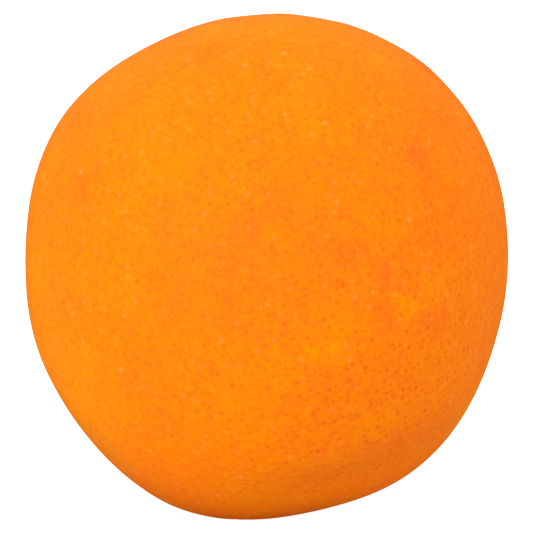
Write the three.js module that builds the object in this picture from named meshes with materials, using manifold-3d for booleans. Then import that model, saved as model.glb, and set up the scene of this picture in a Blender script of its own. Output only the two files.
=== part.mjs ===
// A whole sweet orange, as picked: the fruit, and the calyx that stays on it as a button at the stem end.
//
// Millimetres and degrees. +Z is up, +X is to the right and +Y goes away from the front. The origin is on
// the surface that the orange rests on, under the middle of its bounding box. A direction is written as
// [azimuth, elevation]: azimuth turns from +X towards +Y, and elevation rises from the horizon.
//
// The fruit is one closed surface around its core. In each direction it lies at the mean radius, plus the
// lobes of its outline, plus the swells and flats of its flanks, less the basin at its stem end and the
// scar at its stylar end. The flat spot that it rests on is a plane cut through the bottom.

import * as THREE from 'three';
import { mergeVertices } from 'three/addons/utils/BufferGeometryUtils.js';
import Module from 'manifold-3d';

// ---- Driving dimensions of the fruit ----

const MEAN_RADIUS = 38.7;
const REST_HEIGHT = 39.1; // from the surface that it rests on up to the middle of the core

// The outline seen from the front: how many crests each lobe has round the outline, how high they stand,
// and the angle from +X towards +Z at which the first of them points.
const OUTLINE_LOBES = [
  { crests: 2, height: 0.97, first: 83 },
  { crests: 3, height: 0.3, first: 31 },
  { crests: 4, height: 0.38, first: 53 },
  { crests: 5, height: 0.14, first: 24 },
  { crests: 6, height: 0.19, first: 17 },
  { crests: 7, height: 0.16, first: 46 },
];

// The flanks: each swell stands out, or lies back where its height is negative, and fades over its spread.
// It lies round one direction, or along the chord from there to another.
const FLANK_SWELLS = [
  { name: 'back left cheek', towards: [145, 8], height: 1.0, spread: 34 },
  { name: 'back right flat', towards: [40, -5], height: -0.9, spread: 32 },
  { name: 'back shoulder', towards: [95, 42], height: 0.5, spread: 24 },
  { name: 'back heel', towards: [100, -40], height: 0.3, spread: 22 },
  { name: 'front low flat', towards: [-60, -33], height: -0.55, spread: 19 },
  { name: 'front ridge', towards: [-66, -12], height: 0.3, spread: 13 },
  { name: 'front left cheek', towards: [-120, 22], height: 0.35, spread: 26 },
  { name: 'front low ridge', towards: [-65, -42], upTo: [-37, -29], height: 0.4, spread: 10 },
  { name: 'front low crease', towards: [-79, -57], upTo: [-46, -51], height: -0.5, spread: 7 },
];

const STEM_END = [85, 74];
const BASIN = { depth: 1.9, spread: 13 };
const FURROWS = { count: 9, depth: 0.22, ring: 12, spread: 6, unevenness: 1.3 };

const STYLAR_END = [-160, -85.5];
const SCAR = { depth: 1.1, spread: 2.4 };

const MERIDIANS = 64;
const RINGS = 48;
const CROWDING = 0.18; // how strongly the rings crowd towards the two ends, where the small features are
const CUTTER_SIDE = 160;

// ---- Driving dimensions of the calyx ----

const CALYX_GAP = 0.3; // between the calyx and the floor of the basin
const CALYX_REACH = 4.6; // from the middle out to the tip of a sepal
const SEPALS = 5;
const NOTCH = 0.34; // how far the edge draws in between two sepals, as a share of the reach
const STUB_RADIUS = 1.4;
const STUB_TOP = 1.9;
const STUB_BEVEL = 0.15;
const CALYX_MERIDIANS = 60;

// Half of the calyx's section, from the middle of its underside out to a tip and back to the stub's top.
const CALYX_SECTION = [
  [0, 0],
  [STUB_RADIUS, 0.02],
  [0.6 * CALYX_REACH, 0.16],
  [0.97 * CALYX_REACH, 0.5],
  [CALYX_REACH, 0.66],
  [0.95 * CALYX_REACH, 0.8],
  [0.7 * CALYX_REACH, 0.92],
  [0.45 * CALYX_REACH, 1.12],
  [STUB_RADIUS, 1.25],
  [STUB_RADIUS, STUB_TOP - STUB_BEVEL],
  [STUB_RADIUS - STUB_BEVEL, STUB_TOP],
  [0, STUB_TOP],
];

const PEEL_ORANGE = 0xff8a14;
const CALYX_GREEN = 0x7d8a45;

const wasm = await Module();
wasm.setup();

const rad = THREE.MathUtils.degToRad;
const LATHE_AXIS = new THREE.Vector3(0, 1, 0);
const UP = new THREE.Vector3(0, 0, 1);

function directionOf([azimuth, elevation]) {
  const level = Math.cos(rad(elevation));
  return new THREE.Vector3(
    level * Math.cos(rad(azimuth)),
    level * Math.sin(rad(azimuth)),
    Math.sin(rad(elevation)),
  );
}

const stemEnd = directionOf(STEM_END);
const stylarEnd = directionOf(STYLAR_END);
const swellMiddles = FLANK_SWELLS.map(({ towards, upTo }) => {
  const start = directionOf(towards);
  return upTo ? new THREE.Line3(start, directionOf(upTo)) : start;
});

// One in the middle, falling off smoothly to nothing as the angle passes the spread.
function fade(angle, spread) {
  return Math.exp(-((angle / rad(spread)) ** 2));
}

// The outline's lobes are full in the plane of the outline and die away towards the front and the back.
function outlineLobes(direction) {
  const fullness = Math.hypot(direction.x, direction.z);
  const around = Math.atan2(direction.z, direction.x);
  return OUTLINE_LOBES.reduce((sum, { crests, height, first }) => {
    const wave = Math.cos(crests * (around - rad(first)));
    return sum + height * fullness ** crests * wave;
  }, 0);
}

// The angle from a direction to a swell's middle, which is another direction or a chord.
function angleToMiddle(direction, middle) {
  if (middle instanceof THREE.Line3) {
    return direction.angleTo(middle.closestPointToPoint(direction, true, new THREE.Vector3()));
  }
  return direction.angleTo(middle);
}

function flankSwells(direction) {
  return FLANK_SWELLS.reduce(
    (sum, swell, i) => sum + swell.height * fade(angleToMiddle(direction, swellMiddles[i]), swell.spread),
    0,
  );
}

// The basin round the calyx, and the uneven furrows that run out of it between the carpels.
function stemBasin(direction) {
  const away = direction.angleTo(stemEnd);
  const across = new THREE.Vector3().crossVectors(UP, stemEnd).normalize();
  const along = new THREE.Vector3().crossVectors(stemEnd, across);
  const turn = Math.atan2(direction.dot(along), direction.dot(across));
  const wave = Math.cos(FURROWS.count * turn + FURROWS.unevenness * Math.sin(2 * turn));
  const furrows = FURROWS.depth * wave * fade(away - rad(FURROWS.ring), FURROWS.spread);
  return BASIN.depth * fade(away, BASIN.spread) + furrows;
}

function stylarScar(direction) {
  return SCAR.depth * fade(direction.angleTo(stylarEnd), SCAR.spread);
}

function fruitRadius(direction) {
  const rounded = MEAN_RADIUS + outlineLobes(direction) + flankSwells(direction);
  return rounded - stemBasin(direction) - stylarScar(direction);
}

// Leaves only the positions of a geometry, and merges the vertices that stand at one place.
function merged(geometry) {
  geometry.deleteAttribute('normal');
  geometry.deleteAttribute('uv');
  return mergeVertices(geometry);
}

// Turns a section of [radius, height] points about the lathe's axis.
function lathed(section, meridians) {
  const points = section.map(([radius, height]) => new THREE.Vector2(radius, height));
  return merged(new THREE.LatheGeometry(points, meridians));
}

// Moves every vertex of a geometry to where the function puts it.
function reshaped(geometry, move) {
  const position = geometry.getAttribute('position');
  const point = new THREE.Vector3();
  for (let i = 0; i < position.count; i += 1) {
    move(point.fromBufferAttribute(position, i));
    position.setXYZ(i, point.x, point.y, point.z);
  }
  return geometry;
}

function solidOf(geometry) {
  return new wasm.Manifold(
    new wasm.Mesh({
      numProp: 3,
      vertProperties: new Float32Array(geometry.getAttribute('position').array),
      triVerts: new Uint32Array(geometry.index.array),
    }),
  );
}

function geometryOf(solid) {
  const mesh = solid.getMesh();
  const geometry = new THREE.BufferGeometry();
  geometry.setAttribute('position', new THREE.BufferAttribute(mesh.vertProperties, mesh.numProp));
  geometry.setIndex(new THREE.BufferAttribute(mesh.triVerts, 1));
  geometry.computeVertexNormals();
  return geometry;
}

// A half circle from the stylar end up to the stem end, with its points crowding towards both.
function ballSection() {
  return Array.from({ length: RINGS + 1 }, (_, ring) => {
    const share = ring / RINGS;
    const rise = Math.PI * share - CROWDING * Math.sin(2 * Math.PI * share);
    return [Math.abs(Math.sin(rise)), -Math.cos(rise)];
  });
}

// A ball of rings about the core, whose axis bends a little on its way from end to end. It is swollen to
// the fruit's radius in each direction, and cut flat where it rests.
function fruitGeometry() {
  const atStem = new THREE.Quaternion().setFromUnitVectors(LATHE_AXIS, stemEnd);
  const atStylar = new THREE.Quaternion().setFromUnitVectors(LATHE_AXIS, stylarEnd.clone().negate());
  const turn = new THREE.Quaternion();
  const whole = reshaped(lathed(ballSection(), MERIDIANS), (point) => {
    const share = point.angleTo(LATHE_AXIS) / Math.PI;
    point.normalize().applyQuaternion(turn.slerpQuaternions(atStem, atStylar, share));
    point.multiplyScalar(fruitRadius(point));
    point.z += REST_HEIGHT;
  });
  const belowRest = merged(new THREE.BoxGeometry(CUTTER_SIDE, CUTTER_SIDE, CUTTER_SIDE));
  belowRest.translate(0, 0, -CUTTER_SIDE / 2);
  return geometryOf(solidOf(whole).subtract(solidOf(belowRest)));
}

// A shallow dish drawn out into five sepals, with the cut stub of the stem standing on it.
function calyxGeometry() {
  const geometry = reshaped(lathed(CALYX_SECTION, CALYX_MERIDIANS), (point) => {
    const reach = Math.hypot(point.x, point.z);
    const turn = Math.atan2(point.z, point.x);
    const beyondStub = THREE.MathUtils.smoothstep(reach, STUB_RADIUS, CALYX_REACH);
    const drawnIn = 1 - NOTCH * beyondStub * (0.5 - 0.5 * Math.cos(SEPALS * turn));
    point.x *= drawnIn;
    point.z *= drawnIn;
  });
  geometry.computeVertexNormals();
  return geometry;
}

function makeFruit() {
  const peel = new THREE.MeshStandardMaterial({ color: PEEL_ORANGE, roughness: 0.5, metalness: 0 });
  const fruit = new THREE.Mesh(fruitGeometry(), peel);
  fruit.name = 'fruit';
  return fruit;
}

function makeCalyx() {
  const green = new THREE.MeshStandardMaterial({ color: CALYX_GREEN, roughness: 0.85, metalness: 0 });
  const calyx = new THREE.Mesh(calyxGeometry(), green);
  calyx.name = 'calyx';
  calyx.quaternion.setFromUnitVectors(LATHE_AXIS, stemEnd);
  calyx.position.copy(stemEnd).multiplyScalar(fruitRadius(stemEnd) + CALYX_GAP);
  calyx.position.z += REST_HEIGHT;
  return calyx;
}

// The pieces stand round the core, and the group is then moved so that its origin is under its box's middle.
const orange = new THREE.Group();
orange.add(makeFruit(), makeCalyx());
const middle = new THREE.Box3().setFromObject(orange, true).getCenter(new THREE.Vector3());
orange.position.set(-middle.x, -middle.y, 0);

export default orange;
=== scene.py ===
"""A whole sweet orange, as picked, at rest on a pale floor.

The orange is two pieces. The fruit is one closed surface round its core: in each direction it lies at its
mean radius, plus the lobes of its outline, the swells and flats of its flanks and a faint unevenness, less
the basin and furrows at its stem end, the scar at its stylar end and the pit of each oil gland. The calyx is
the green button that stays on the stem end, and it lies on the peel.

Lengths are in metres, unless a name or a docstring says otherwise. Headings and spreads over the peel are
in degrees, and turns round something are in radians. +X is to the right, +Y goes away from the front and
+Z is up.
"""

import logging
import math
from collections.abc import Iterable
from dataclasses import dataclass, field
from enum import Enum

import bpy
from mathutils import Matrix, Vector
import numpy as np


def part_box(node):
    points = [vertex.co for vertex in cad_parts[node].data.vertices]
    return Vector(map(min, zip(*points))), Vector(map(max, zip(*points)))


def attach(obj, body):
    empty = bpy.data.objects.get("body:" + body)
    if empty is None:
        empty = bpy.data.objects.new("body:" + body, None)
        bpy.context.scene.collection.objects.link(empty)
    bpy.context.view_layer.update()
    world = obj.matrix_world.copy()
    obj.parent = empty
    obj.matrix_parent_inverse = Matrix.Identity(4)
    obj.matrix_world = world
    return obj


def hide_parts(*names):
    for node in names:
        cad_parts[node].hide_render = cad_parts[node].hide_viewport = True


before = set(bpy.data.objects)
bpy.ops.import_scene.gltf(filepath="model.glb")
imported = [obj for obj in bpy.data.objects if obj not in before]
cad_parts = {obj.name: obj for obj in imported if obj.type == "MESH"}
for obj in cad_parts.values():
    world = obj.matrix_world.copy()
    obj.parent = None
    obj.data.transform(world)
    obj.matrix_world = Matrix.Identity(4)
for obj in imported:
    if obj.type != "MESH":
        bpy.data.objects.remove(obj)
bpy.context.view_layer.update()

LOG = logging.getLogger("orange")
MM = 0.001
GOLDEN_TURN = math.pi * (3.0 - math.sqrt(5.0))
SLAB = 16_000_000  # how many dot products are held at one time


# ---- Directions and meshes ----


@dataclass(frozen=True)
class Heading:
    """A direction from the core: azimuth turns from +X towards +Y, and elevation rises from the horizon."""

    azimuth: float
    elevation: float

    def vector(self) -> np.ndarray:
        """Works out the direction in the frame's axes.

        Returns:
            The unit vector (cos e cos a, cos e sin a, sin e) for an azimuth a and an elevation e.
        """
        turn, rise = math.radians(self.azimuth), math.radians(self.elevation)
        level = math.cos(rise)
        return np.array([level * math.cos(turn), level * math.sin(turn), math.sin(rise)])

    def away(self, directions: np.ndarray) -> np.ndarray:
        """The angle from this heading to each direction: the arc cosine of their dot product."""
        return np.degrees(np.arccos(np.clip(directions @ self.vector(), -1.0, 1.0)))


FRONT_VIEW = Heading(-90, 4)
FRONT_BALL_MM = 38.9  # the radius of the ball that places on the front are reckoned on


def fade(distance: np.ndarray, spread: float) -> np.ndarray:
    """One in the middle, and exp(-(distance / spread)^2) away from it."""
    return np.exp(-((distance / spread) ** 2))


def smooth_step(low: float, high: float, value: np.ndarray) -> np.ndarray:
    """Nothing below low, one above high, and 3 t^2 - 2 t^3 between them, where t is the share of the way."""
    share = np.clip((value - low) / (high - low), 0.0, 1.0)
    return share * share * (3.0 - 2.0 * share)


def nearest(directions: np.ndarray, among: np.ndarray) -> np.ndarray:
    """For each direction, which of the others points most nearly the same way.

    It is the one with the largest dot product, and the products are worked out a slab of rows at a time.

    Args:
        directions: unit vectors, one a row.
        among: the unit vectors to choose from.

    Returns:
        The row of among that each direction takes.
    """
    rows = max(1, SLAB // len(among))
    ours, theirs = directions.astype(np.float32), among.astype(np.float32).T
    slabs = [np.argmax(ours[i : i + rows] @ theirs, axis=1) for i in range(0, len(ours), rows)]
    return np.concatenate(slabs)


def spaced(directions: np.ndarray, angle: float) -> np.ndarray:
    """Leaves out each direction that lies within an angle, in radians, of one before it.

    Args:
        directions: unit vectors, one a row.
        angle: the least angle between two of them.

    Returns:
        For each direction, whether it stays.
    """
    rows = max(1, SLAB // len(directions))
    ours, order = directions.astype(np.float32), np.arange(len(directions))
    slabs = (slice(i, i + rows) for i in range(0, len(ours), rows))
    near = [(ours[slab] @ ours.T > math.cos(angle)) & (order < order[slab, None]) for slab in slabs]
    return ~np.concatenate([block.any(axis=1) for block in near])


def ball_grid(steps: int) -> tuple[np.ndarray, np.ndarray]:
    """Directions spread evenly over a ball, and the quads between them.

    Each of the six sides carries a grid of two angles that run from -45 to 45 degrees. A knot's direction is
    the side's axis, plus the tangent of the first angle across, plus the tangent of the second up, made one
    long. Knots that meet where two sides join are merged.

    Args:
        steps: how many quads run along each edge of a side.

    Returns:
        The unit vectors, and four rows of them for each quad, which faces outwards.
    """
    tangent = np.tan(np.linspace(-math.pi / 4, math.pi / 4, steps + 1))
    across, up = np.meshgrid(tangent, tangent, indexing="ij")
    sides = []
    for axis in range(3):
        for sign in (1.0, -1.0):
            side = np.empty((*across.shape, 3))
            side[..., axis] = sign
            side[..., (axis + 1) % 3] = sign * across
            side[..., (axis + 2) % 3] = up
            sides.append(side.reshape(-1, 3))
    knots = np.concatenate(sides)
    knots /= np.linalg.norm(knots, axis=1, keepdims=True)
    kept, place = np.unique(np.round(knots, 9), axis=0, return_inverse=True)
    numbers = place.reshape(6, steps + 1, steps + 1)
    low, high = slice(None, -1), slice(1, None)
    corners = (numbers[:, low, low], numbers[:, high, low], numbers[:, high, high], numbers[:, low, high])
    quads = np.stack(corners, axis=-1).reshape(-1, 4)
    return kept / np.linalg.norm(kept, axis=1, keepdims=True), quads


def add_piece(name: str, points: np.ndarray, faces: list[np.ndarray]) -> bpy.types.Object:
    """Puts points and faces into a smooth mesh, on an object at the origin.

    Args:
        name: what the piece is called.
        points: its vertices, one a row.
        faces: arrays of vertex rows, each array with faces of one number of sides.

    Returns:
        The new object.
    """
    corners = np.concatenate([block.ravel() for block in faces])
    sides = np.concatenate([np.full(len(block), block.shape[1]) for block in faces])
    mesh = bpy.data.meshes.new(name)
    mesh.vertices.add(len(points))
    mesh.vertices.foreach_set("co", points.astype(np.float32).ravel())
    mesh.loops.add(len(corners))
    mesh.loops.foreach_set("vertex_index", corners.astype(np.int32))
    mesh.polygons.add(len(sides))
    mesh.polygons.foreach_set("loop_start", (np.cumsum(sides) - sides).astype(np.int32))
    mesh.update(calc_edges=True)
    mesh.shade_smooth()
    piece = bpy.data.objects.new(name, mesh)
    bpy.context.scene.collection.objects.link(piece)
    return piece


class Domain(Enum):
    """What a piece stores its values for."""

    POINTS = "POINT"
    FACES = "FACE"


def write_values(piece: bpy.types.Object, name: str, domain: Domain, values: np.ndarray) -> None:
    """Stores a number or a vector for each point or face of a piece, for its material to read.

    Args:
        piece: the piece that stores them.
        name: what the material reads them by.
        domain: whether there is one for each point or for each face.
        values: the numbers, or the vectors, one a row.
    """
    kind, slot = ("FLOAT", "value") if values.ndim == 1 else ("FLOAT_VECTOR", "vector")
    stored = piece.data.attributes.new(name, kind, domain.value)
    stored.data.foreach_set(slot, values.astype(np.float32).ravel())


# ---- The fruit's shape ----


@dataclass(frozen=True)
class Lobe:
    """A wave round the outline: how many crests it has, how high they stand, and where the first points.

    The first crest's angle is counted from +X towards +Z.
    """

    crests: int
    height: float
    first: float


def facing(right: float, up: float) -> Heading:
    """Finds the heading of a place on the front, as it is seen in the front view.

    It is as far forward as it would be on a ball: the root of the ball's radius squared, less right squared,
    less up squared.

    Args:
        right: how many millimetres it is to the right of the core.
        up: how many millimetres it is above the core.

    Returns:
        The place's heading from the core.
    """
    forward = math.sqrt(FRONT_BALL_MM**2 - right**2 - up**2)
    tilt = math.radians(FRONT_VIEW.elevation)
    back = up * math.sin(tilt) - forward * math.cos(tilt)
    height = up * math.cos(tilt) + forward * math.sin(tilt)
    return Heading(math.degrees(math.atan2(back, right)), math.degrees(math.asin(height / FRONT_BALL_MM)))


@dataclass(frozen=True)
class Patch:
    """A part of the peel that differs from the rest by an amount, less and less away from its middle.

    It lies round its heading, or along the chord from there to another heading. The amount is how far it
    stands out, how much redder it is, or how much brown shade is painted on it. A negative amount lies back,
    or is yellower.
    """

    heading: Heading
    spread: float
    amount: float
    towards: Heading | None = None

    def away(self, directions: np.ndarray) -> np.ndarray:
        """Measures how far each direction is from the patch's middle.

        Args:
            directions: unit vectors, one a row.

        Returns:
            The angle from each to the nearest point of the chord, or to the heading.
        """
        if self.towards is None:
            return self.heading.away(directions)
        first, run = self.heading.vector(), self.towards.vector() - self.heading.vector()
        share = np.clip((directions - first) @ run / (run @ run), 0.0, 1.0)
        near = first + share[:, None] * run
        near /= np.linalg.norm(near, axis=1, keepdims=True)
        return np.degrees(np.arccos(np.clip((directions * near).sum(axis=1), -1.0, 1.0)))


def sum_of(patches: Iterable[Patch], directions: np.ndarray) -> np.ndarray:
    """The sum of the patches in each direction, each its amount faded over the angle from its middle."""
    amounts = (patch.amount * fade(patch.away(directions), patch.spread) for patch in patches)
    return sum(amounts, np.zeros(len(directions)))


@dataclass(frozen=True)
class FruitShape:
    """How far the peel is from the core in each direction."""

    mean_radius: float = 38.7 * MM
    rest_height: float = 39.1 * MM
    lobes: tuple[Lobe, ...] = (
        Lobe(2, 0.97 * MM, 83),
        Lobe(3, 0.30 * MM, 31),
        Lobe(4, 0.38 * MM, 53),
        Lobe(5, 0.14 * MM, 24),
        Lobe(6, 0.19 * MM, 17),
        Lobe(7, 0.16 * MM, 46),
    )
    swells: tuple[Patch, ...] = (
        Patch(Heading(145, 8), 34, 1.0 * MM),  # back left cheek
        Patch(Heading(40, -5), 32, -0.9 * MM),  # back right flat
        Patch(Heading(95, 42), 24, 0.5 * MM),  # back shoulder
        Patch(Heading(100, -40), 22, 0.3 * MM),  # back heel
        Patch(Heading(-60, -33), 19, -0.55 * MM),  # front low flat
        Patch(Heading(-66, -12), 13, 0.3 * MM),  # front ridge
        Patch(Heading(-120, 22), 26, 0.35 * MM),  # front left cheek
        Patch(Heading(-65, -42), 10, 0.4 * MM, Heading(-37, -29)),  # front low ridge
        Patch(Heading(-79, -57), 7, -0.5 * MM, Heading(-46, -51)),  # front low crease
    )
    stem_end: Heading = Heading(85, 74)
    basin_depth: float = 1.9 * MM
    basin_spread: float = 13
    furrows: int = 9
    furrow_depth: float = 0.22 * MM
    furrow_ring: float = 12
    furrow_spread: float = 6
    furrow_unevenness: float = 1.3
    stylar_end: Heading = Heading(-160, -85.5)
    scar_depth: float = 1.1 * MM
    scar_spread: float = 2.4
    unevenness: float = 0.035 * MM
    waves: int = 40
    slowest_wave: float = 9.0
    fastest_wave: float = 26.0
    seed: int = 11

    def outline_lobes(self, directions: np.ndarray) -> np.ndarray:
        """Adds up the lobes: height x fullness^crests x cos(crests x (angle round the outline - first)).

        Fullness is the length of a direction's part in the plane of the outline, so that the lobes die away
        towards the front and the back.

        Args:
            directions: unit vectors, one a row.

        Returns:
            How far the lobes stand out in each direction.
        """
        fullness = np.hypot(directions[:, 0], directions[:, 2])
        around = np.arctan2(directions[:, 2], directions[:, 0])
        waves = (
            lobe.height * fullness**lobe.crests * np.cos(lobe.crests * (around - math.radians(lobe.first)))
            for lobe in self.lobes
        )
        return sum(waves, np.zeros(len(directions)))

    def stem_axes(self) -> tuple[np.ndarray, np.ndarray, np.ndarray]:
        """Sets out the axes of the stem end.

        Returns:
            Unit vectors across the stem end, along its slope, and out of it.
        """
        out = self.stem_end.vector()
        across = np.cross([0.0, 0.0, 1.0], out)
        across /= np.linalg.norm(across)
        return across, np.cross(out, across), out

    def stem_basin(self, directions: np.ndarray) -> np.ndarray:
        """Sinks the stem end: a faded basin, and furrows that are faded away from a ring round the stem.

        The furrows are depth x cos(number x turn + unevenness x sin(2 x turn)), for the turn round the stem.

        Args:
            directions: unit vectors, one a row.

        Returns:
            How far the peel lies back in each direction.
        """
        across, along, _ = self.stem_axes()
        turn = np.arctan2(directions @ along, directions @ across)
        away = self.stem_end.away(directions)
        wave = np.cos(self.furrows * turn + self.furrow_unevenness * np.sin(2.0 * turn))
        furrows = self.furrow_depth * wave * fade(away - self.furrow_ring, self.furrow_spread)
        return self.basin_depth * fade(away, self.basin_spread) + furrows

    def stylar_scar(self, directions: np.ndarray) -> np.ndarray:
        """How deep the stylar end lies: a small faded dimple."""
        return self.scar_depth * fade(self.stylar_end.away(directions), self.scar_spread)

    def slight_waves(self, directions: np.ndarray) -> np.ndarray:
        """Makes a faint unevenness all over: a sum of sines that run in all directions, at many paces.

        The sum is scaled so that its usual height is the unevenness, however many sines there are.

        Args:
            directions: unit vectors, one a row.

        Returns:
            How far the peel stands out in each direction.
        """
        dice = np.random.default_rng(self.seed)
        paces = dice.uniform(self.slowest_wave, self.fastest_wave, self.waves)
        runs = dice.normal(size=(3, self.waves))
        runs *= paces / np.linalg.norm(runs, axis=0)
        starts = dice.uniform(0.0, 2.0 * math.pi, self.waves)
        return self.unevenness * np.sin(directions @ runs + starts).sum(axis=1) / math.sqrt(self.waves / 2)

    def radius(self, directions: np.ndarray) -> np.ndarray:
        """Adds up the peel's distance: the mean radius, lobes and swells, less basin and scar, and waves.

        Args:
            directions: unit vectors, one a row.

        Returns:
            How far the peel is from the core in each direction, before its pits and its flat spot.
        """
        rounded = self.mean_radius + self.outline_lobes(directions) + sum_of(self.swells, directions)
        hollowed = rounded - self.stem_basin(directions) - self.stylar_scar(directions)
        return hollowed + self.slight_waves(directions)


@dataclass(frozen=True)
class OilGlands:
    """The oil glands in the peel: how far apart, how wide, how deep and how different from each other."""

    spacing: float = 1.4 * MM
    closest: float = 0.75 * MM
    scatter: float = 0.18  # as a share of the spacing
    pit_depth: float = 0.045 * MM
    narrowest: float = 0.7
    widest: float = 1.35
    usual_darkness: float = 0.5
    darkness_spread: float = 0.22
    least_darkness: float = 0.05
    pale_share: float = 0.01  # of the glands
    faint_share: float = 0.1  # of the glands, the pale ones among them
    pale: float = 0.3
    faint: float = 0.16
    weakest: float = 0.5  # as a share of the pale or the faint
    seed: int = 5

    def headings(self, mean_radius: float) -> np.ndarray:
        """Places the glands on a golden spiral from pole to pole, each moved a little at random.

        Gland i of n is at height 1 - 2 (i + 1/2) / n and has turned i + 1/2 golden angles. Each takes up the
        spacing squared x sqrt(3) / 2 of the ball, as in a net of even triangles.

        Args:
            mean_radius: the radius of the ball that they are spread over.

        Returns:
            A unit vector for each gland.
        """
        cell = self.spacing**2 * math.sqrt(3.0) / 2.0
        number = round(4.0 * math.pi * mean_radius**2 / cell)
        rank = np.arange(number) + 0.5
        height = 1.0 - 2.0 * rank / number
        level, turn = np.sqrt(1.0 - height**2), rank * GOLDEN_TURN
        spiral = np.stack([level * np.cos(turn), level * np.sin(turn), height], axis=1)
        dice = np.random.default_rng(self.seed)
        moved = spiral + dice.normal(size=spiral.shape) * self.scatter * self.spacing / mean_radius
        return moved / np.linalg.norm(moved, axis=1, keepdims=True)

    def characters(self, number: int) -> np.ndarray:
        """Makes the glands differ: most are dark, a few are faintly pale and fewer are pale, the pale ones
        partly painted glints.

        Args:
            number: how many glands there are.

        Returns:
            A row for each: its width against the usual one, how dark it is, and how pale, from 0 to 1.
        """
        dice = np.random.default_rng(self.seed + 1)
        width = dice.uniform(self.narrowest, self.widest, number)
        dark = dice.normal(self.usual_darkness, self.darkness_spread, number)
        dark = np.clip(dark, self.least_darkness, 1.0)
        chance, strength = dice.uniform(size=number), dice.uniform(self.weakest, 1.0, number)
        pale_or_faint = np.where(chance < self.pale_share, self.pale, self.faint)
        pale = np.where(chance < self.faint_share, pale_or_faint, 0.0) * strength
        return np.stack([width, np.where(pale > 0.0, 0.0, dark), pale], axis=1)


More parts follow.
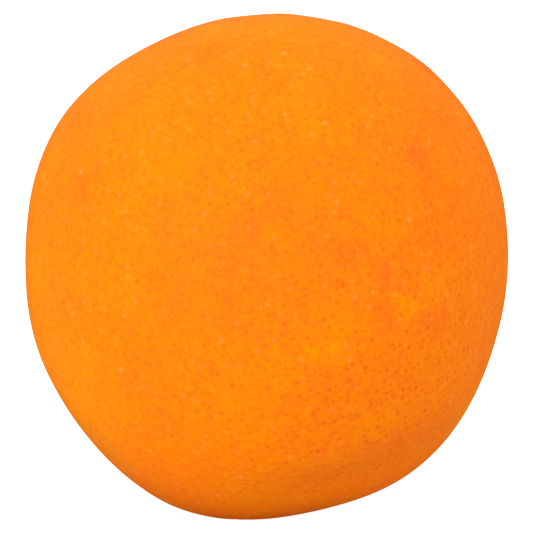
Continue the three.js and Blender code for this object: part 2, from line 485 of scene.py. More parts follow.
@dataclass(frozen=True)
class Ripeness:
    """Where the peel is redder or yellower, where brown shade is painted on it, and where its glands show
    most.

    The patches on the front are listed one by one, and those on the back are scattered by seeded dice.
    """

    broad: tuple[Patch, ...] = (
        Patch(facing(0, -36), 14, -0.6),
        Patch(facing(-3, -25), 21, -0.2),
        Patch(facing(-29, -22), 18, -0.85),
        Patch(facing(-36, -13.5), 6, -0.5),
        Patch(facing(-37, -1), 12, -0.6),
        Patch(facing(-23, -1), 10, -0.2),
        Patch(facing(-26, 27), 10, -0.3),
        Patch(facing(5, 36), 19, -0.3),
        Patch(facing(-18, 19), 13, -0.15),
        Patch(facing(6, 2), 19, 0.25),
        Patch(facing(34, 3), 15, 0.15),
        Patch(facing(27, 7), 8, 0.2),
        Patch(facing(25, 22), 7, 0.3),
    )
    redder: tuple[Patch, ...] = (
        Patch(facing(-3, 5), 3, 0.4),
        Patch(facing(-6, 1), 4, 0.3, facing(-6, -8)),
        Patch(facing(1, 9.5), 4, 0.25),
        Patch(facing(-15, 4), 5, 0.25, facing(-14, -4)),
        Patch(facing(-25, 3), 4, 0.25),
        Patch(facing(22.5, 17), 3.5, 0.7),
        Patch(facing(24, 14), 4, 0.2),
        Patch(facing(12, 1), 5, 0.2),
        Patch(facing(17.5, -1), 3, 0.5, facing(18, -9)),
        Patch(facing(21, -3), 3, 0.3),
        Patch(facing(23.5, -8.5), 2.6, 0.5, facing(27, -9)),
        Patch(facing(20, -19), 3, 0.3),
        Patch(facing(-28, 12), 4.5, 0.5),
        Patch(facing(-29, 23), 5, 0.4),
        Patch(facing(-20, -14), 3, 0.4, facing(-20.5, -19)),
        Patch(facing(-16.5, -23), 4, 0.3),
        Patch(facing(-9, 32), 4, 0.4),
        Patch(facing(0, 29), 2.5, 0.3, facing(2, 26)),
        Patch(facing(24, 30), 4.5, 0.8),
        Patch(facing(16, -27), 4, 0.3, facing(26, -25)),
        Patch(facing(34, -13), 4, 0.3),
        Patch(facing(35, 15), 5, 0.3),
        Patch(facing(-8, -17), 4, 0.25),
    )
    yellower: tuple[Patch, ...] = (
        Patch(facing(19, -5), 2.2, -0.9, facing(22, -6.5)),
        Patch(facing(25.5, -3.5), 3.5, -0.5),
        Patch(facing(6, -13), 2.6, -0.5, facing(10, -12.5)),
        Patch(facing(10, -12), 3, -0.45, facing(12, -9)),
        Patch(facing(9, -7), 5, -0.35),
        Patch(facing(17, 9), 2.4, -0.3),
        Patch(facing(6, 11), 3, -0.25),
        Patch(facing(8, 20), 4, -0.3, facing(4, 26)),
        Patch(facing(18, 30), 4, -0.4),
        Patch(facing(-7, 36), 5, -0.35),
        Patch(facing(-20, 22), 3, -0.25),
        Patch(facing(-15, 15), 4, -0.3),
        Patch(facing(-5, 11), 3, -0.15),
        Patch(facing(-5, -18), 4, -0.25, facing(-5, -25)),
        Patch(facing(1, -16), 5, -0.3),
        Patch(facing(-7, -12), 2.5, -0.35),
        Patch(facing(19, -12), 2.5, -0.25),
        Patch(facing(-34, 15), 5, -0.5),
        Patch(facing(-29, -2), 3, -0.4),
        Patch(facing(-14, -28), 4, -0.3),
        Patch(facing(16, -25), 5, -0.3),
        Patch(facing(31, -23), 5, -0.9),
        Patch(facing(11, -37), 7, -0.8),
    )
    # Painted shade: a brown tint along the crease low on the right and along the lower left rim.
    painted_rim_shade: tuple[Patch, ...] = (
        Patch(facing(7, -32), 6, 0.09, facing(25, -26)),
        Patch(facing(-26, -27), 7, 0.13, facing(-13, -36)),
    )
    behind: int = 70
    behind_azimuths: tuple[float, float] = (-5.0, 185.0)
    behind_heights: tuple[float, float] = (-0.98, 0.98)  # sines of the elevation
    narrowest: float = 3.0
    widest: float = 9.0
    strength: float = 0.24
    # Painted shade: the glands and the clouds are drawn stronger round these low headings, where the pits
    # fall into shade.
    clearest: tuple[Heading, ...] = (Heading(-54, -29), Heading(65, -15), Heading(160, -35))
    clear_spread: float = 41.0
    least_clear: float = 0.53
    clearer: float = 0.6
    seed: int = 3

    def scattered(self) -> list[Patch]:
        """Scatters the patches on the back, evenly over it: a height's chance is the same all the way up.

        Returns:
            The patches, redder and yellower alike.
        """
        dice = np.random.default_rng(self.seed)
        azimuths = dice.uniform(*self.behind_azimuths, self.behind)
        elevations = np.degrees(np.arcsin(dice.uniform(*self.behind_heights, self.behind)))
        spreads = dice.uniform(self.narrowest, self.widest, self.behind)
        tones = dice.normal(0.0, self.strength, self.behind)
        headings = (Heading(azimuth, elevation) for azimuth, elevation in zip(azimuths, elevations))
        return [Patch(heading, spread, tone) for heading, spread, tone in zip(headings, spreads, tones)]

    def blush(self, directions: np.ndarray) -> np.ndarray:
        """How red the peel is: the sum of all the redder and yellower patches."""
        return sum_of([*self.broad, *self.redder, *self.yellower, *self.scattered()], directions)

    def browning_and_painted_shade(self, directions: np.ndarray) -> np.ndarray:
        """How much brown shade is painted on the peel: the sum of the patches of painted shade."""
        return sum_of(self.painted_rim_shade, directions)

    def clearness(self, directions: np.ndarray) -> np.ndarray:
        """How clearly the glands show, as painted shade in their pits: the least, and more round the nearest
        of the clearest headings, which are all low.
        """
        near = [fade(heading.away(directions), self.clear_spread) for heading in self.clearest]
        return self.least_clear + self.clearer * np.max(near, axis=0)


@dataclass
class Fruit:
    """The fruit: peel, pith and segments grown as one piece, shown as one closed surface."""

    shape: FruitShape = field(default_factory=FruitShape)
    glands: OilGlands = field(default_factory=OilGlands)
    ripeness: Ripeness = field(default_factory=Ripeness)
    steps: int = 128
    greening_spread: float = 8.0
    browning_spread: float = 3.4

    def core(self) -> np.ndarray:
        """Finds the core, so that the surface's middle is over the middle of the frame's box for the fruit.

        Returns:
            The core's place, at the height that it has when the fruit rests.
        """
        low, high = (np.array(corner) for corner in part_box("fruit"))
        directions, _ = ball_grid(self.steps // 4)
        own = directions * self.shape.radius(directions)[:, None]
        offset = (low + high) / 2.0 - (own.min(axis=0) + own.max(axis=0)) / 2.0
        return np.array([offset[0], offset[1], low[2] + self.shape.rest_height])

    def build(self) -> bpy.types.Object:
        """Makes the surface, with a pit at the knot nearest to each gland, and stores what the peel reads.

        A point is the core plus its direction times its radius, and no point is lower than the floor. Each
        face knows its nearest gland, so that the finish can draw the gland round its true middle.

        Returns:
            The piece.
        """
        directions, quads = ball_grid(self.steps)
        radius = self.shape.radius(directions)
        glands = self.glands.headings(self.shape.mean_radius)
        knots = np.unique(nearest(glands, directions))
        knots = knots[spaced(directions[knots], self.glands.closest / self.shape.mean_radius)]
        characters = self.glands.characters(len(knots))
        core = self.core()
        middles = core + directions[knots] * radius[knots, None]
        radius[knots] -= self.glands.pit_depth * characters[:, 0]
        points = core + directions * radius[:, None]
        points[:, 2] = np.maximum(points[:, 2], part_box("fruit")[0][2])
        piece = add_piece("whole_fruit", points, [quads])
        of_face = nearest(directions[quads].mean(axis=1), directions[knots])
        write_values(piece, "gland_place", Domain.FACES, middles[of_face])
        write_values(piece, "gland_kind", Domain.FACES, characters[of_face])
        write_values(piece, "blush", Domain.POINTS, self.ripeness.blush(directions))
        write_values(piece, "gland_show", Domain.POINTS, self.ripeness.clearness(directions))
        greening = fade(self.shape.stem_end.away(directions), self.greening_spread)
        write_values(piece, "greening", Domain.POINTS, greening)
        scar = fade(self.shape.stylar_end.away(directions), self.browning_spread)
        # The stylar scar's own brown, plus the brown shade painted low on the peel.
        write_values(piece, "browning_and_painted_shade", Domain.POINTS, scar + self.ripeness.browning_and_painted_shade(directions))
        return piece


@dataclass
class Calyx:
    """The calyx: a thick dish drawn out into pointed sepals, with the cut stub of the stem on it."""

    fruit: Fruit
    reach: float = 4.5 * MM
    sepals: int = 5
    notch: float = 0.36
    stub_radius: float = 1.35 * MM
    stub_height: float = 1.95 * MM
    foot_height: float = 1.15 * MM
    edge_height: float = 0.3 * MM
    sunk: float = 0.06 * MM
    rib: float = 0.12 * MM
    curl: float = 0.3 * MM
    ruffle: float = 0.07 * MM
    ruffle_counts: tuple[float, float] = (13.0, 23.0)
    ruffle_start: float = 4.0
    ruffle_lean: float = 9.0
    slant: float = 0.14 * MM
    slant_turn: float = 0.7
    hollow: float = 0.16 * MM
    hollow_spread: float = 0.7 * MM
    stub_shoulder: float = 0.12 * MM
    stub_fillet: float = 0.4 * MM
    notch_roundness: float = 0.8
    slope_roundness: float = 1.4
    rib_sharpness: float = 8
    dry_from: float = 0.35  # as a share of the reach, from where the sepals grow drier
    saw_edge: float = 0.2 * MM
    columns: int = 200
    rows: int = 46
    crowding: float = 1.15  # how strongly the rows of the top crowd towards its middle
    first_under: float = 0.985  # as a share of the reach, the first row of the underside

    def outline(self, turn: np.ndarray, distance: np.ndarray) -> np.ndarray:
        """What a distance shrinks to: 1, less notch x |sin(sepals x turn / 2)|^roundness past the stub."""
        beyond = smooth_step(self.stub_radius, self.reach, distance)
        return 1.0 - self.notch * beyond * np.abs(np.sin(self.sepals * turn / 2.0)) ** self.notch_roundness

    def top(self, turn: np.ndarray, distance: np.ndarray) -> np.ndarray:
        """Works out how high the top stands over the peel.

        It falls from the foot of the stub to the edge as (1 - share)^roundness, where share is how much of
        the way has gone. On it are a rib down each sepal, which stands out as 4 share (1 - share), a tip that
        curls up as share^4, and a ruffle of two sines, one of which leans as it goes out. The stub stands on
        it with a slanting, slightly hollow cut.

        Args:
            turn: turns round the stem.
            distance: distances from the stem, before they are drawn in.

        Returns:
            The height at each turn and distance.
        """
        share = np.clip((distance - self.stub_radius) / (self.reach - self.stub_radius), 0.0, 1.0)
        fall = (1.0 - share) ** self.slope_roundness
        slope = self.edge_height + (self.foot_height - self.edge_height) * fall
        along_rib = np.abs(np.cos(self.sepals * turn / 2.0)) ** self.rib_sharpness
        ribs = self.rib * along_rib * share * (1.0 - share) * 4.0
        tips = self.curl * along_rib * share**4
        slow, fast = self.ruffle_counts
        waves = np.sin(slow * turn + self.ruffle_start) + np.sin(fast * turn + self.ruffle_lean * share)
        ruffles = self.ruffle * share * waves
        shoulder, foot = self.stub_radius - self.stub_shoulder, self.stub_radius + self.stub_fillet
        stub = 1.0 - smooth_step(shoulder, foot, distance)
        cut = self.slant * np.cos(turn - self.slant_turn) * distance / self.stub_radius
        hollow = self.hollow * fade(distance, self.hollow_spread)
        return slope + ribs + tips + ruffles + stub * (self.stub_height - self.foot_height + cut - hollow)

    def build(self) -> bpy.types.Object:
        """Makes the closed surface: over the top from its middle to the edge, and back under it, in the peel.

        Its two parameters are the turn round the stem and the row. A point's distance from the stem is an arc
        on the fruit, and its height is counted from the peel below it, so that the calyx lies on the peel.

        Returns:
            The piece.
        """
        turn = np.linspace(0.0, 2.0 * math.pi, self.columns, endpoint=False)
        over = np.linspace(0.0, 1.0, self.rows + 1)[1:] ** self.crowding
        under = np.linspace(self.first_under, 0.0, self.rows // 2)[:-1]
        distance = np.concatenate([over, under])[:, None] * self.reach
        turns = np.broadcast_to(turn, (len(distance), self.columns))
        height = self.top(turns, distance)
        height[self.rows :] = -self.sunk
        flat = distance * self.outline(turns, distance)
        points = self.on_peel(turns.ravel(), flat.ravel(), height.ravel())
        ends = self.on_peel(np.zeros(2), np.zeros(2), np.array([self.top(0.0, 0.0), -self.sunk]))
        points = self.fruit.core() + np.concatenate([points, ends])
        piece = add_piece("calyx_button", points, self.faces(len(distance)))
        around = np.ones(self.columns)
        dryness = smooth_step(self.dry_from, 1.0, distance / self.reach) * around
        sawn = (1.0 - smooth_step(self.stub_radius - self.saw_edge, self.stub_radius, distance)) * around
        sawn[self.rows :] = 0.0
        out = distance / self.stub_radius * around
        write_values(piece, "dryness", Domain.POINTS, np.append(dryness.ravel(), [0.0, 0.0]))
        write_values(piece, "sawn", Domain.POINTS, np.append(sawn.ravel(), [1.0, 0.0]))
        write_values(piece, "from_pith", Domain.POINTS, np.append(out.ravel(), [0.0, 0.0]))
        return piece

    def on_peel(self, turn: np.ndarray, distance: np.ndarray, height: np.ndarray) -> np.ndarray:
        """Places points over the peel, round the stem end.

        A direction is cos(bend) out of the stem end plus sin(bend) sideways at the turn, where the bend is
        the distance over the fruit's radius there. The point is the direction times its radius plus height.

        Args:
            turn: turns round the stem.
            distance: arcs from the stem.
            height: heights over the peel.

        Returns:
            A point a row, counted from the core.
        """
        shape = self.fruit.shape
        across, along, out = shape.stem_axes()
        bend = distance / (shape.mean_radius - shape.basin_depth)
        sideways = np.cos(turn)[:, None] * across + np.sin(turn)[:, None] * along
        directions = np.cos(bend)[:, None] * out + np.sin(bend)[:, None] * sideways
        return directions * (shape.radius(directions) + height)[:, None]

    def faces(self, rows: int) -> list[np.ndarray]:
        """Joins the rows with quads, and closes the top's and the underside's middle with fans of triangles.

        Args:
            rows: how many rows there are, over the top and back under it.

        Returns:
            The quads and the triangles, as rows of point numbers.
        """
        number = np.arange(rows * self.columns).reshape(rows, self.columns)
        turned = np.roll(number, -1, axis=1)
        quads = np.stack([number[:-1], number[1:], turned[1:], turned[:-1]], axis=-1).reshape(-1, 4)
        top_middle = np.full(self.columns, rows * self.columns)
        fans = (
            np.stack([top_middle, number[0], turned[0]], axis=-1),
            np.stack([top_middle + 1, turned[-1], number[-1]], axis=-1),
        )
        return [quads, np.concatenate(fans)]


# ---- Finishes ----


WHITE = (1.0, 1.0, 1.0, 1.0)
MOTTLE_GAIN = 4.0
SCUFF_SHOWS = (0.56, 0.72)  # a noise's values between which a hairline comes to show


class Course(Enum):
    """How a value runs from one end of its range to the other."""

    SMOOTH = "SMOOTHSTEP"
    STRAIGHT = "LINEAR"


class Bench:
    """A node tree being laid out: it adds nodes, sets their sockets and links them."""

    def __init__(self, tree: bpy.types.NodeTree) -> None:
        """Starts work on an emptied tree."""
        self.tree = tree
        tree.nodes.clear()

    def add(self, kind: str, inputs: dict | None = None, **settings: object) -> bpy.types.Node:
        """Adds a node.

        Args:
            kind: the node's type, without the word ShaderNode.
            inputs: values or output sockets for its inputs, by name or number.
            settings: its own settings.

        Returns:
            The node.
        """
        node = self.tree.nodes.new("ShaderNode" + kind)
        for name, value in settings.items():
            setattr(node, name, value)
        for name, value in (inputs or {}).items():
            self.feed(node.inputs[name], value)
        return node

    def feed(self, socket: bpy.types.NodeSocket, value: object) -> None:
        """Links an output to a socket, or sets the socket's own value.

        Args:
            socket: the input.
            value: the output, or the number or colour.
        """
        if isinstance(value, bpy.types.NodeSocket):
            self.tree.links.new(value, socket)
        else:
            socket.default_value = value

    def math(self, operation: str, *values: object) -> bpy.types.NodeSocket:
        """The number that an operation makes of one, two or three others."""
        return self.add("Math", dict(enumerate(values)), operation=operation).outputs[0]

    def ramp(self, value: object, low: object, high: object, to_low: float = 0.0, to_high: float = 1.0,
             course: Course = Course.SMOOTH) -> bpy.types.NodeSocket:
        """Carries a value from one range to another, without passing the ends.

        Args:
            value: the value.
            low: what becomes to_low.
            high: what becomes to_high.
            to_low: where the new range starts.
            to_high: where the new range ends.
            course: how it runs between them.

        Returns:
            The value in the new range.
        """
        inputs = {"Value": value, "From Min": low, "From Max": high, "To Min": to_low, "To Max": to_high}
        return self.add("MapRange", inputs, interpolation_type=course.value).outputs[0]

    def mix(self, share: object, under: object, over: object) -> bpy.types.NodeSocket:
        """Lays one colour over another.

        Args:
            share: how much of the upper one shows, from 0 to 1.
            under: the lower colour.
            over: the upper colour.

        Returns:
            The colour that shows.
        """
        inputs = {0: share, 6: under, 7: over}  # the node's factor, and its two colours
        return self.add("Mix", inputs, data_type="RGBA").outputs[2]  # its colour

    def read(self, name: str, vector: bool = False) -> bpy.types.NodeSocket:
        """What the piece stores under a name."""
        return self.add("Attribute", attribute_name=name).outputs["Vector" if vector else "Fac"]

    def split(self, vector: bpy.types.NodeSocket) -> list[bpy.types.NodeSocket]:
        """The three parts of a vector."""
        return list(self.add("SeparateXYZ", {0: vector}).outputs)

    def place(self) -> bpy.types.NodeSocket:
        """Where the point is, in the piece's own coordinates."""
        return self.add("TexCoord").outputs["Object"]

    def use(self, group: bpy.types.NodeTree, **inputs: object) -> bpy.types.Node:
        """Places a node group, with its inputs given by name."""
        return self.add("Group", inputs, node_tree=group)

    def coat(self, colour: bpy.types.NodeSocket, rough: bpy.types.NodeSocket, height: bpy.types.NodeSocket,
             relief: tuple[float, float], gloss: float) -> None:
        """Ends a material with its shader, which has a bump, and its output.

        Args:
            colour: the shader's colour.
            rough: its roughness.
            height: the height that the bump shows.
            relief: how strongly the bump shows, and how high it is.
            gloss: the shader's specular level.
        """
        strength, distance = relief
        bump = self.add("Bump", {"Strength": strength, "Distance": distance, "Height": height}).outputs[0]
        inputs = {"Base Color": colour, "Roughness": rough, "Normal": bump, "Specular IOR Level": gloss}
        self.add("OutputMaterial", {"Surface": self.add("BsdfPrincipled", inputs).outputs[0]})


def new_material(name: str) -> tuple[bpy.types.Material, Bench]:
    """Starts a material.

    Args:
        name: what it is called.

    Returns:
        The material, and the bench that its nodes are laid out on.
    """
    material = bpy.data.materials.new(name)
    material.use_nodes = True
    return material, Bench(material.node_tree)


def new_group(name: str, inputs: dict[str, float], outputs: tuple[str, ...]) -> tuple[Bench, dict, dict]:
    """Starts a node group with a vector input called Place and numbers in and out.

    Args:
        name: what the group is called.
        inputs: its number inputs and their usual values.
        outputs: its number outputs.

    Returns:
        The bench, the sockets that come in and the sockets that go out, by name.
    """
    tree = bpy.data.node_groups.new(name, "ShaderNodeTree")
    tree.interface.new_socket("Place", in_out="INPUT", socket_type="NodeSocketVector")
    for label, value in inputs.items():
        socket = tree.interface.new_socket(label, in_out="INPUT", socket_type="NodeSocketFloat")
        socket.default_value = value
    for label in outputs:
        tree.interface.new_socket(label, in_out="OUTPUT", socket_type="NodeSocketFloat")
    bench = Bench(tree)
    coming = bench.tree.nodes.new("NodeGroupInput")
    going = bench.tree.nodes.new("NodeGroupOutput")
    return bench, {s.name: s for s in coming.outputs}, {s.name: s for s in going.inputs}


def mottle_group() -> bpy.types.NodeTree:
    """Makes soft patches all over: gain x contrast x (noise - 1/2), kept between -1 and 1.

    Returns:
        The group, whose amount is 0 on average.
    """
    bench, coming, going = new_group("Mottle", {"Size": 0.01, "Detail": 3.0, "Contrast": 1.0}, ("Amount",))
    scale = bench.math("DIVIDE", 1.0, coming["Size"])
    noise = bench.add("TexNoise", {"Vector": coming["Place"], "Scale": scale, "Detail": coming["Detail"]})
    centred = bench.math("SUBTRACT", noise.outputs[0], 0.5)
    spread = bench.math("MULTIPLY", bench.math("MULTIPLY", centred, MOTTLE_GAIN), coming["Contrast"])
    bench.feed(going["Amount"], bench.math("MAXIMUM", bench.math("MINIMUM", spread, 1.0), -1.0))
    return bench.tree


def scuff_group() -> bpy.types.NodeTree:
    """Makes short hairlines: a noise is near 1/2 along thin curves, and another noise breaks them up.

    Returns:
        The group, whose amount is 1 on a line and 0 off it.
    """
    bench, coming, going = new_group("Scuffs", {"Bend": 0.01, "Length": 0.003, "Width": 0.01}, ("Amount",))
    bend, length = (bench.math("DIVIDE", 1.0, coming[name]) for name in ("Bend", "Length"))
    curves = bench.add("TexNoise", {"Vector": coming["Place"], "Scale": bend, "Detail": 0.0})
    gaps = bench.add("TexNoise", {"Vector": coming["Place"], "Scale": length, "Detail": 1.0})
    off = bench.math("ABSOLUTE", bench.math("SUBTRACT", curves.outputs[0], 0.5))
    line = bench.ramp(off, coming["Width"], 0.0)
    bench.feed(going["Amount"], bench.math("MULTIPLY", line, bench.ramp(gaps.outputs[0], *SCUFF_SHOWS)))
    return bench.tree


@dataclass(frozen=True)
class PeelFinish:
    """Waxy orange peel, with its blush, its oil glands, its pale flecks, which are partly painted glints, and
    its scuffs.
    """

    yellow: tuple[float, ...] = (0.93, 0.27, 0.0003, 1.0)
    orange: tuple[float, ...] = (0.92, 0.206, 0.0034, 1.0)
    red: tuple[float, ...] = (0.90, 0.145, 0.009, 1.0)
    gland: tuple[float, ...] = (0.80, 0.10, 0.002, 1.0)
    # Pale flecks: partly the peel's pale dots, partly painted glints on the pores; the scuffs use it too.
    fleck_and_glint: tuple[float, ...] = (1.0, 0.50, 0.17, 1.0)
    green: tuple[float, ...] = (0.55, 0.33, 0.02, 1.0)
    # The stylar scar's brown, which also tints the painted shade low on the peel.
    brown: tuple[float, ...] = (0.28, 0.12, 0.03, 1.0)
    show_range: tuple[float, float] = (0.5, 1.2)  # how clearly the glands show
    cloud_contrast: tuple[float, float] = (0.85, 1.15)  # at the two ends of the show range
    gland_radius: float = 0.5 * MM
    gland_middle: float = 0.1  # the share of the radius in which a gland is full
    gland_strength: float = 0.85
    gland_raggedness: float = 0.32 * MM
    ragged_size: float = 0.8 * MM
    clouds: tuple[tuple[float, float], ...] = (  # the size of each, and how much of it the blush takes
        (11 * MM, 0.08),
        (5 * MM, 0.08),
        (2.6 * MM, 0.14),
        (1.3 * MM, 0.25),
        (0.7 * MM, 0.44),
    )
    scuff_strength: float = 0.13
    scuff_bend: float = 11 * MM
    scuff_length: float = 3 * MM
    scuff_width: float = 0.0055  # as a share of the noise's range
    greening: float = 0.75
    # How much brown is laid on the stylar scar and on the painted shade.
    browning_and_painted_shade: float = 0.8
    grain_size: float = 0.9 * MM
    grain_height: float = 0.12  # against a pit's depth
    relief: tuple[float, float] = (0.5, 0.06 * MM)  # how strongly the bump shows, and how high it is
    roughness: float = 0.46
    roughness_range: float = 0.05
    gloss: float = 0.014

    def material(self, mottle: bpy.types.NodeTree, scuffs: bpy.types.NodeTree) -> bpy.types.Material:
        """Lays the glands, the pale flecks with their painted glints, the scuffs, the greening, and the
        scar's brown with the brown painted shade over the ground colour.

        Args:
            mottle: the group for soft patches.
            scuffs: the group for hairlines.

        Returns:
            The material.
        """
        material, bench = new_material("orange_peel")
        place = bench.place()
        colour, tone = self.ground(bench, place, mottle)
        dark, pale = self.glands(bench, place)
        colour = bench.mix(dark, colour, self.gland)
        hairlines = {"Bend": self.scuff_bend, "Length": self.scuff_length, "Width": self.scuff_width}
        lines = bench.use(scuffs, Place=place, **hairlines).outputs[0]
        pale = bench.math("MAXIMUM", pale, bench.math("MULTIPLY", lines, self.scuff_strength))
        # Pale flecks, partly painted glints, and the scuffs' hairlines.
        colour = bench.mix(pale, colour, self.fleck_and_glint)
        # The second tint lays brown on the stylar scar and brown painted shade low on the peel.
        tints = {"greening": (self.greening, self.green), "browning_and_painted_shade": (self.browning_and_painted_shade, self.brown)}
        for stored, (share, tint) in tints.items():
            colour = bench.mix(bench.math("MULTIPLY", bench.read(stored), share), colour, tint)
        grain = bench.use(mottle, Place=place, Size=self.grain_size, Detail=2.0, Contrast=1.0).outputs[0]
        pits = bench.math("MULTIPLY", dark, -1.0)
        height = bench.math("ADD", pits, bench.math("MULTIPLY", grain, self.grain_height))
        smoothest, roughest = self.roughness - self.roughness_range, self.roughness + self.roughness_range
        rough = bench.ramp(tone, -1.0, 1.0, smoothest, roughest)
        bench.coat(colour, rough, height, self.relief, self.gloss)
        return material

    def ground(self, bench: Bench, place: bpy.types.NodeSocket,
               mottle: bpy.types.NodeTree) -> tuple[bpy.types.NodeSocket, bpy.types.NodeSocket]:
        """Colours the peel between its glands: the blush, with clouds of many sizes added to it.

        Args:
            bench: where the peel's nodes are laid out.
            place: where the point is.
            mottle: the group for soft patches.

        Returns:
            The colour, from yellow over orange to red, and the blush with its clouds.
        """
        # The clouds show more where the glands do, low on the peel, as painted shade.
        contrast = bench.ramp(bench.read("gland_show"), *self.show_range, *self.cloud_contrast)
        blush = bench.read("blush")
        for size, share in self.clouds:
            cloud = bench.use(mottle, Place=place, Size=size, Detail=1.0, Contrast=contrast).outputs[0]
            blush = bench.math("ADD", blush, bench.math("MULTIPLY", cloud, share))
        ripe = bench.mix(bench.ramp(blush, 0.0, 1.0, course=Course.STRAIGHT), self.orange, self.red)
        return bench.mix(bench.ramp(blush, 0.0, -1.0, course=Course.STRAIGHT), ripe, self.yellow), blush

    def glands(self, bench: Bench,
               place: bpy.types.NodeSocket) -> tuple[bpy.types.NodeSocket, bpy.types.NodeSocket]:
        """Draws the nearest gland: full in its middle, and less and less out to its ragged edge.

        Args:
            bench: where the peel's nodes are laid out.
            place: where the point is.

        Returns:
            How dark the gland makes the point, and how pale, the paleness being partly a painted glint.
        """
        ragged_noise = {"Vector": place, "Scale": 1.0 / self.ragged_size, "Detail": 1.0}
        shift = bench.add("TexNoise", ragged_noise).outputs["Color"]
        centred = bench.add("VectorMath", {0: shift, 1: (0.5, 0.5, 0.5)}, operation="SUBTRACT").outputs[0]
        moved = {0: centred, 1: [self.gland_raggedness] * 3, 2: place}
        ragged = bench.add("VectorMath", moved, operation="MULTIPLY_ADD").outputs[0]
        ends = {0: ragged, 1: bench.read("gland_place", vector=True)}
        between = bench.add("VectorMath", ends, operation="DISTANCE").outputs["Value"]
        width, dark, pale = bench.split(bench.read("gland_kind", vector=True))
        reach = bench.math("MULTIPLY", width, self.gland_radius)
        inside = bench.ramp(between, reach, bench.math("MULTIPLY", reach, self.gland_middle))
        # Painted shade: the glands are darker where gland_show is high, low on the peel.
        strength = bench.math("MULTIPLY", bench.read("gland_show"), self.gland_strength)
        darkness = bench.math("MULTIPLY", inside, bench.math("MULTIPLY", dark, strength))
        return darkness, bench.math("MULTIPLY", inside, pale)


@dataclass(frozen=True)
class CalyxFinish:
    """Dry green calyx, browner towards its tips, with the pale wood of the cut stem."""

    green: tuple[float, ...] = (0.21, 0.24, 0.055, 1.0)
    brown: tuple[float, ...] = (0.24, 0.145, 0.055, 1.0)
    wood: tuple[float, ...] = (0.46, 0.36, 0.18, 1.0)
    pith: tuple[float, ...] = (0.20, 0.14, 0.07, 1.0)
    patch_size: float = 1.1 * MM
    patch_dryness: float = 0.35
    grain_size: float = 0.3 * MM
    grain_brownness: float = 0.35
    grain_from: float = -0.6
    pith_edge: float = 0.3  # this and the next four are shares of the stub's radius
    pith_middle: float = 0.08
    ring: float = 0.62
    ring_width: float = 0.12
    ring_waver: float = 0.12
    ring_darkness: float = 0.45
    relief: tuple[float, float] = (0.7, 0.12 * MM)  # how strongly the bump shows, and how high it is
    roughness: float = 0.8
    roughness_range: float = 0.1
    gloss: float = 0.25

    def material(self, mottle: bpy.types.NodeTree) -> bpy.types.Material:
        """Colours the sepals from green to brown, and the cut stub as wood with a dark pith and a ring.

        Args:
            mottle: the group for soft patches.

        Returns:
            The material.
        """
        material, bench = new_material("dry_calyx")
        place = bench.place()
        patches = bench.use(mottle, Place=place, Size=self.patch_size, Detail=4.0, Contrast=1.0).outputs[0]
        grain = bench.use(mottle, Place=place, Size=self.grain_size, Detail=3.0, Contrast=1.0).outputs[0]
        dry = bench.math("ADD", bench.read("dryness"), bench.math("MULTIPLY", patches, self.patch_dryness))
        colour = bench.mix(bench.ramp(dry, 0.0, 1.0), self.green, self.brown)
        waver = bench.math("MULTIPLY", patches, self.ring_waver)
        from_pith = bench.math("ADD", bench.read("from_pith"), waver)
        off_ring = bench.math("ABSOLUTE", bench.math("SUBTRACT", from_pith, self.ring))
        ring = bench.ramp(off_ring, self.ring_width, 0.0, to_high=self.ring_darkness)
        dark = bench.math("MAXIMUM", bench.ramp(from_pith, self.pith_edge, self.pith_middle), ring)
        streaks = bench.ramp(grain, self.grain_from, 1.0, to_high=self.grain_brownness)
        wood = bench.mix(dark, bench.mix(streaks, self.wood, self.brown), self.pith)
        colour = bench.mix(bench.read("sawn"), colour, wood)
        smoothest, roughest = self.roughness - self.roughness_range, self.roughness + self.roughness_range
        rough = bench.ramp(patches, -1.0, 1.0, smoothest, roughest)
        bench.coat(colour, rough, grain, self.relief, self.gloss)
        return material


# ---- Studio ----


@dataclass(frozen=True)
class Lamp:
    """A square soft light that faces the fruit."""

    name: str
    heading: Heading
    watts: float
    side: float = 1.1
    distance: float = 1.2


@dataclass(frozen=True)
class Bank:
    """A bank of soft light far away: its heading, its strength and how narrow it is."""

    heading: Heading
    strength: float
    narrowness: float = 1.0


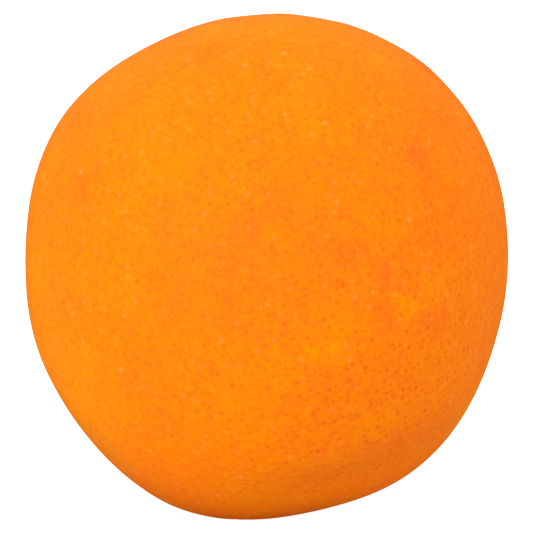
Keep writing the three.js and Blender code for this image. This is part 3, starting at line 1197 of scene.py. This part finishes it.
@dataclass(frozen=True)
class Studio:
    """A pale floor that glows a little, banks of soft light round it, the key lamp and the camera."""

    floor_side: float = 12.0
    floor_colour: tuple[float, ...] = (0.6, 0.6, 0.6, 1.0)
    floor_glow: float = 0.24
    seen_glow: float = 0.7
    banks: tuple[Bank, ...] = (
        Bank(Heading(0, 90), 1.38),
        Bank(Heading(0, 8), 1.14, narrowness=3.0),
        Bank(Heading(180, 14), 0.6, narrowness=3.0),
    )
    backdrop: float = 1.1
    key: Lamp = Lamp("key", Heading(-120, 8), 11.5)
    camera_distance: float = 0.92
    view_width: float = 82.8 * MM
    aim_right: float = -0.19 * MM
    aim_up: float = -0.26 * MM
    view_depth: float = 100.0
    sensor: float = 36.0  # in millimetres, as the lens's length is

    def floor(self) -> None:
        """Lays the floor, which keeps its paleness in the fruit's shade where the camera sees it."""
        half = self.floor_side / 2.0
        points = np.array([[-half, -half, 0.0], [half, -half, 0.0], [half, half, 0.0], [-half, half, 0.0]])
        floor = add_piece("floor", points, [np.array([[0, 1, 2, 3]])])
        material, bench = new_material("pale_floor")
        looked_at = bench.add("LightPath").outputs["Is Camera Ray"]
        brightest = self.floor_glow + self.seen_glow
        strength = bench.ramp(looked_at, 0.0, 1.0, self.floor_glow, brightest, course=Course.STRAIGHT)
        matt = bench.add("BsdfDiffuse", {"Color": self.floor_colour})
        glow = bench.add("Emission", {"Color": WHITE, "Strength": strength})
        both = bench.add("AddShader", {0: matt.outputs[0], 1: glow.outputs[0]})
        bench.add("OutputMaterial", {"Surface": both.outputs[0]})
        floor.data.materials.append(material)
        floor.visible_glossy = False

    def surroundings(self) -> None:
        """Gives soft banks of light all round, behind an even white backdrop.

        Each bank's light is its strength times (the part of a direction that points at it)^narrowness.
        """
        world = bpy.data.worlds.new("studio")
        bpy.context.scene.world = world
        world.use_nodes = True
        bench = Bench(world.node_tree)
        looking = bench.add("TexCoord").outputs["Generated"]
        strength = 0.0
        for bank in self.banks:
            heading = bank.heading.vector().tolist()
            both = {0: looking, 1: heading}
            part = bench.add("VectorMath", both, operation="DOT_PRODUCT").outputs["Value"]
            shape = bench.math("POWER", bench.math("MAXIMUM", part, 0.0), bank.narrowness)
            strength = bench.math("ADD", strength, bench.math("MULTIPLY", shape, bank.strength))
        light = bench.add("Background", {"Color": WHITE, "Strength": strength})
        backdrop = bench.add("Background", {"Color": WHITE, "Strength": self.backdrop})
        looked_at = bench.add("LightPath").outputs["Is Camera Ray"]
        either = bench.add("MixShader", {0: looked_at, 1: light.outputs[0], 2: backdrop.outputs[0]})
        bench.add("OutputWorld", {"Surface": either.outputs[0]})

    def light(self, target: np.ndarray) -> None:
        """Hangs the key lamp, which lights the fruit but isn't seen.

        Args:
            target: what it faces.
        """
        lamp = bpy.data.lights.new(self.key.name, "AREA")
        lamp.shape = "SQUARE"
        lamp.size = self.key.side
        lamp.energy = self.key.watts
        holder = bpy.data.objects.new(self.key.name, lamp)
        holder.visible_camera = False
        bpy.context.scene.collection.objects.link(holder)
        self.point(holder, target, self.key.heading.vector(), self.key.distance)

    def camera(self, target: np.ndarray) -> None:
        """Sets up the camera in front and a little above, looking almost at the target.

        Args:
            target: the fruit's core.
        """
        lens = bpy.data.cameras.new("camera")
        lens.sensor_width = self.sensor
        lens.lens = self.sensor * self.camera_distance / self.view_width
        lens.clip_end = self.view_depth
        holder = bpy.data.objects.new("camera", lens)
        bpy.context.scene.collection.objects.link(holder)
        rise = math.radians(FRONT_VIEW.elevation)
        up = np.array([0.0, math.sin(rise), math.cos(rise)])
        aim = target + np.array([self.aim_right, 0.0, 0.0]) + self.aim_up * up
        self.point(holder, aim, FRONT_VIEW.vector(), self.camera_distance)
        bpy.context.scene.camera = holder

    @staticmethod
    def point(holder: bpy.types.Object, target: np.ndarray, back: np.ndarray, distance: float) -> None:
        """Puts a lamp or a camera back from its target, facing it with its top upwards.

        Args:
            holder: the lamp's or the camera's object.
            target: what it faces.
            back: the unit vector from the target to it.
            distance: how far back it is.
        """
        right = np.cross([0.0, 0.0, 1.0], back)
        right /= np.linalg.norm(right)
        columns = np.stack([right, np.cross(back, right), back, target + distance * back], axis=1)
        holder.matrix_world = Matrix([*columns.tolist(), [0.0, 0.0, 0.0, 1.0]])

    def build(self, target: np.ndarray) -> None:
        """Sets up everything round the fruit.

        Args:
            target: the fruit's core.
        """
        bpy.context.scene.view_settings.view_transform = "Standard"
        self.floor()
        self.surroundings()
        self.light(target)
        self.camera(target)


# ---- The orange ----


def dress(piece: bpy.types.Object, material: bpy.types.Material, node: str) -> None:
    """Finishes a piece, which rides on the part's one body.

    Args:
        piece: the piece.
        material: its finish.
        node: the node that it stands for.
    """
    piece.data.materials.append(material)
    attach(piece, "root")
    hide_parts(node)
    LOG.info("%s: %d faces, for %s", piece.name, len(piece.data.polygons), node)


def main() -> None:
    """Builds the orange and its studio."""
    logging.basicConfig(level=logging.INFO, format="%(message)s")
    mottle, scuffs = mottle_group(), scuff_group()
    fruit = Fruit()
    dress(fruit.build(), PeelFinish().material(mottle, scuffs), "fruit")
    dress(Calyx(fruit).build(), CalyxFinish().material(mottle), "calyx")
    Studio().build(fruit.core())


if __name__ == "__main__":
    main()
